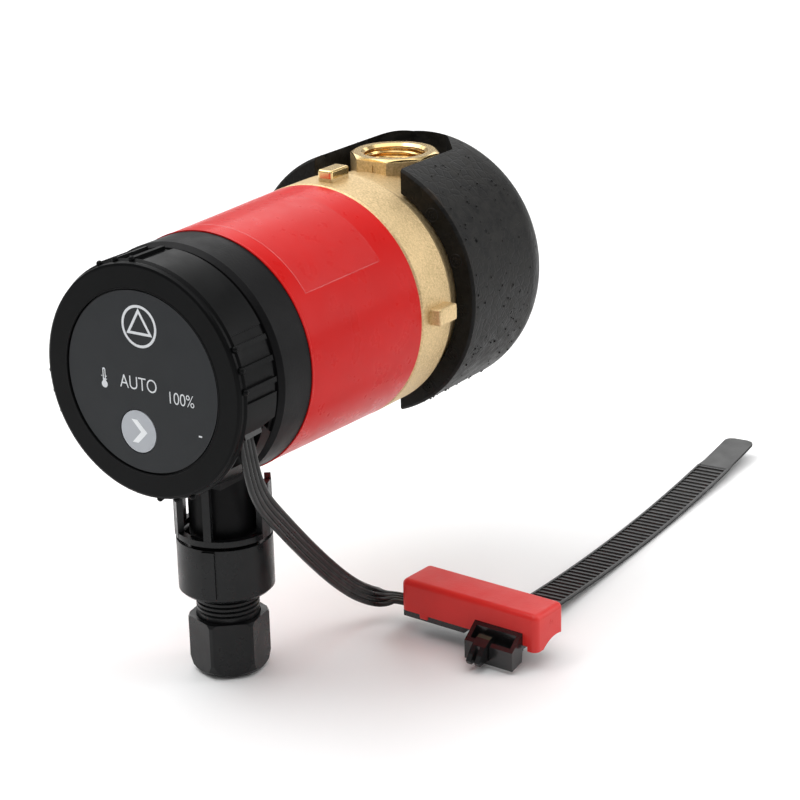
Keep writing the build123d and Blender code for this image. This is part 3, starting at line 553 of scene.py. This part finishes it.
# thin rounded lip round the label's recess
COVER_FRONT = -131.5
LIP_SECTION = ((27.55, 0.5), (27.58, 0.0), (27.68, -0.14), (27.85, -0.14), (28.0, 0.02))
rings = []
for k in range(145):
    angle = 360 * k / 144
    rings.append([around(angle, radius * MM, (COVER_FRONT + y) * MM) for radius, y in LIP_SECTION])
vertices, faces = loft(rings, closed=False, caps=False)
piece("label_lip", vertices, faces, "cover_black")

# ------------------------------------------------------------------ flat ribbed lead
ROUTE = [(30.6, -124.5, 27.4), (32.1, -124.2, 16.4), (31.7, -119.6, 6.2), (30.6, -109.6, -4.2),
         (28.8, -95.6, -18.0), (26.8, -81.0, -31.3), (24.4, -67.4, -42.1), (22.6, -56.2, -49.5),
         (23.0, -48.6, -53.6), (26.583, -43.330, -54.6), (33.166, -43.802, -54.6)]
RIBBON = 6.4 * MM


def smooth_path(points, steps=10):
    """Quadratic B-spline through the middles of the route's runs, from its first point to its last."""
    points = [Vector(p) * MM for p in points]
    path = []
    for i in range(1, len(points) - 1):
        a = points[0] if i == 1 else (points[i - 1] + points[i]) / 2
        b = points[i]
        c = points[-1] if i == len(points) - 2 else (points[i] + points[i + 1]) / 2
        for k in range(steps):
            t = k / steps
            path.append(a * (1 - t) ** 2 + b * 2 * t * (1 - t) + c * t ** 2)
    path.append(points[-1])
    return path


lead_path = smooth_path(ROUTE)
section = []
strands = 4
strand_w = RIBBON / strands
for side in (1, -1):
    for strand in range(strands):
        order = strand if side > 0 else strands - 1 - strand
        centre = -RIBBON / 2 + strand_w * (order + 0.5)
        for k in range(7):
            turn = math.pi * (1 - k / 7) if side > 0 else -math.pi * k / 7
            section.append((centre + strand_w / 2 * math.cos(turn),
                            0.34 * MM * side + 0.46 * MM * math.sin(turn)))
rings = []
for index, point in enumerate(lead_path):
    ahead = lead_path[min(index + 1, len(lead_path) - 1)]
    behind = lead_path[max(index - 1, 0)]
    tangent = (ahead - behind).normalized()
    wide = Vector((0, 1, 0)) - tangent * tangent.y
    wide.normalize()
    thick = tangent.cross(wide)
    rings.append([point + wide * u + thick * v for u, v in section])
vertices, faces = loft(rings)
lead = piece("flat_lead", vertices, faces, "lead_black")
soften(lead, 50)
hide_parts("sensor_lead")

# ------------------------------------------------------------------ toothed strap
strap_root = Vector((65.4, -46.0, -62.0)) * MM
strap_tip = Vector((57.0, 147.0, -62.0)) * MM
run = (strap_tip - strap_root).normalized()
strap_cross = Vector((0, 0, 1)).cross(run)
strap_len = (strap_tip - strap_root).length
mid_low, root_low, tip_low = 0.2 * MM, 6.1 * MM, 4.6 * MM


def strap_height(s):
    """Height of the strap's underside on the arc through its root, middle and tip."""
    t = s / strap_len
    return root_low * (1 - t) * (1 - 2 * t) + mid_low * 4 * t * (1 - t) + tip_low * t * (2 * t - 1)


def strap_point(s, u, h):
    return strap_root + run * s + strap_cross * u + Vector((0, 0, strap_height(s) + h))


STRAP_W = 12.2 * MM
tongue = 26.0 * MM
rings = []
samples = [strap_len * k / 150 for k in range(147)] + [strap_len - 3.0 * MM * math.cos(math.pi / 2 * k / 8)
                                                       for k in range(9)]
for s in sorted(set(samples)):
    half = STRAP_W / 2
    if s > strap_len - tongue:
        half -= 0.4 * MM * min(1.0, (s - strap_len + tongue) / (4 * MM))
    if s > strap_len - 3.0 * MM:
        back = s - strap_len + 3.0 * MM
        half -= 3.0 * MM - math.sqrt(max(0.0, (3.0 * MM) ** 2 - back ** 2))
    half = max(half, 2.2 * MM)
    smooth_end = s > strap_len - tongue - 0.5 * MM
    rail = 1.32 * MM if not smooth_end else 1.05 * MM
    floor = 0.78 * MM if not smooth_end else 1.05 * MM
    rings.append([
        strap_point(s, -half, 0.42 * MM), strap_point(s, -half + 0.1 * MM, 0.12 * MM),
        strap_point(s, half - 0.1 * MM, 0.12 * MM), strap_point(s, half, 0.42 * MM),
        strap_point(s, half - 0.28 * MM, 0.52 * MM), strap_point(s, half - 0.28 * MM, 0.66 * MM),
        strap_point(s, half, 0.76 * MM), strap_point(s, half - 0.12 * MM, rail),
        strap_point(s, half - 0.85 * MM, rail), strap_point(s, half - 1.0 * MM, floor),
        strap_point(s, -half + 1.0 * MM, floor), strap_point(s, -half + 0.85 * MM, rail),
        strap_point(s, -half + 0.12 * MM, rail), strap_point(s, -half, 0.76 * MM),
        strap_point(s, -half + 0.28 * MM, 0.66 * MM), strap_point(s, -half + 0.28 * MM, 0.52 * MM),
    ])
vertices, faces = loft(rings)
# ratchet teeth between the rails
pitch = 2.8 * MM
s = 11.0 * MM
while s < strap_len - tongue - 1.0 * MM:
    start = len(vertices)
    for u in (-STRAP_W / 2 + 0.95 * MM, STRAP_W / 2 - 0.95 * MM):
        for along, h in ((0.0, 0.7), (0.25, 1.22), (0.75, 1.22), (1.9, 0.7)):
            vertices.append(strap_point(s + along * MM, u, h * MM))
    faces += [(start, start + 1, start + 5, start + 4), (start + 1, start + 2, start + 6, start + 5),
              (start + 2, start + 3, start + 7, start + 6), (start, start + 3, start + 2, start + 1),
              (start + 4, start + 5, start + 6, start + 7)]
    s += pitch
strap = piece("toothed_strap", vertices, faces, "strap_black", smooth=False)
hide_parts("strap")

# ------------------------------------------------------------------ small marks on the sensor's cover
turn = math.radians(-4.1)
sensor_x = Vector((math.cos(turn), math.sin(turn), 0))
sensor_y = Vector((-math.sin(turn), math.cos(turn), 0))
sensor_origin = Vector((58.95, -45.65, -56.2)) * MM


def on_sensor(x, y, z):
    return sensor_origin + sensor_x * x * MM + sensor_y * y * MM + Vector((0, 0, z * MM))


vertices, faces = [], []
mark_centre = on_sensor(25.83, 0.6, 8.2)      # on the end face of the cover
add_ring(mark_centre, sensor_x, 0.75 * MM, 0.16 * MM, 0.10 * MM, 20)
add_dome(mark_centre, sensor_x, 0.3 * MM, 0.1 * MM)
piece("sensor_mould_mark", vertices, faces, "sensor_red")

# snap tab of the cover, over the edge of the base
rings = []
for x in (-18.6, -18.3, -15.7, -15.4):
    inset = 0.25 if x in (-18.6, -15.4) else 0.0
    rings.append([on_sensor(x, -7.0, 0.7 + inset), on_sensor(x, -7.55 + inset, 0.7 + inset),
                  on_sensor(x, -7.7 + inset, 1.0 + inset), on_sensor(x, -7.65 + inset, 2.3),
                  on_sensor(x, -7.0, 2.3)])
vertices, faces = loft(rings)
snap_tab = piece("sensor_snap_tab", vertices, faces, "sensor_red", smooth=False)

# ------------------------------------------------------------------ floor, light and camera
floor_z = -0.062


def stage_material(name, colour, rough):
    look = Look(name, colour, rough, spec=0.3)
    look.colour(look.ramp(look.noise(3, 2), tuple(c * 0.985 for c in colour), colour))
    return look.material


camera_turn = math.radians(33.82)
forward = Vector((-math.sin(camera_turn), math.cos(camera_turn), 0))
sideways = Vector((math.cos(camera_turn), math.sin(camera_turn), 0))
vertices = [forward * reach + sideways * side + Vector((0, 0, floor_z - 0.0002))
            for reach, side in ((-3.0, -6.0), (-3.0, 6.0), (9.0, 6.0), (9.0, -6.0))]
faces = [(0, 1, 2, 3)]
mesh = bpy.data.meshes.new("floor")
mesh.from_pydata([tuple(v) for v in vertices], [], faces)
floor = bpy.data.objects.new("floor", mesh)
bpy.context.scene.collection.objects.link(floor)
mesh.materials.append(stage_material("floor_paper", (0.93, 0.93, 0.93), 0.7))


def area(name, position, target, width, height, power, colour=(1, 1, 1)):
    lamp = bpy.data.lights.new(name, "AREA")
    lamp.shape = "RECTANGLE"
    lamp.size = width
    lamp.size_y = height
    lamp.energy = power
    lamp.color = colour
    made = bpy.data.objects.new(name, lamp)
    made.location = position
    made.rotation_euler = (Vector(target) - Vector(position)).to_track_quat("-Z", "Y").to_euler()
    bpy.context.scene.collection.objects.link(made)
    return made


centre = Vector((0.02, -0.03, 0.01))
area("key_top_left", centre - sideways * 0.55 + forward * 0.15 + Vector((0, 0, 0.85)), centre, 0.9, 0.7, 6.0)
area("side_right", centre + sideways * 0.95 + forward * 0.05 + Vector((0, 0, 0.45)), centre, 0.5, 0.8, 3.6)
area("front_fill", centre - forward * 1.0 - sideways * 0.3 + Vector((0, 0, 0.55)), centre, 0.8, 0.6, 0.3)
area("overhead", centre + Vector((0, 0, 2.2)), centre, 3.0, 3.0, 42.0)
area("far_floor", centre + forward * 3.4 + Vector((0, 0, 1.6)), centre + forward * 3.6, 4.5, 3.4, 90.0)

world = bpy.data.worlds.new("studio")
world.use_nodes = True
world.node_tree.nodes["Background"].inputs["Color"].default_value = (1.0, 1.0, 1.0, 1)
world.node_tree.nodes["Background"].inputs["Strength"].default_value = 0.3
bpy.context.scene.world = world
bpy.context.scene.view_settings.view_transform = "Standard"

camera_data = bpy.data.cameras.new("camera")
camera_data.lens = 101.25
camera_data.sensor_width = 36
camera_data.clip_start = 0.01
camera = bpy.data.objects.new("camera", camera_data)
azimuth, elevation, roll = math.radians(33.82), math.radians(19.35), math.radians(-1.40)
back = Vector((math.sin(azimuth) * math.cos(elevation), -math.cos(azimuth) * math.cos(elevation),
               math.sin(elevation)))
right = Vector((math.cos(azimuth), math.sin(azimuth), 0))
up = back.cross(right)
right_rolled = right * math.cos(roll) + up * math.sin(roll)
up_rolled = up * math.cos(roll) - right * math.sin(roll)
place = Vector((0.39579, -0.59113, 0.24442))
camera.matrix_world = Matrix((
    (right_rolled.x, up_rolled.x, back.x, place.x),
    (right_rolled.y, up_rolled.y, back.y, place.y),
    (right_rolled.z, up_rolled.z, back.z, place.z),
    (0, 0, 0, 1),
))
bpy.context.scene.collection.objects.link(camera)
bpy.context.scene.camera = camera
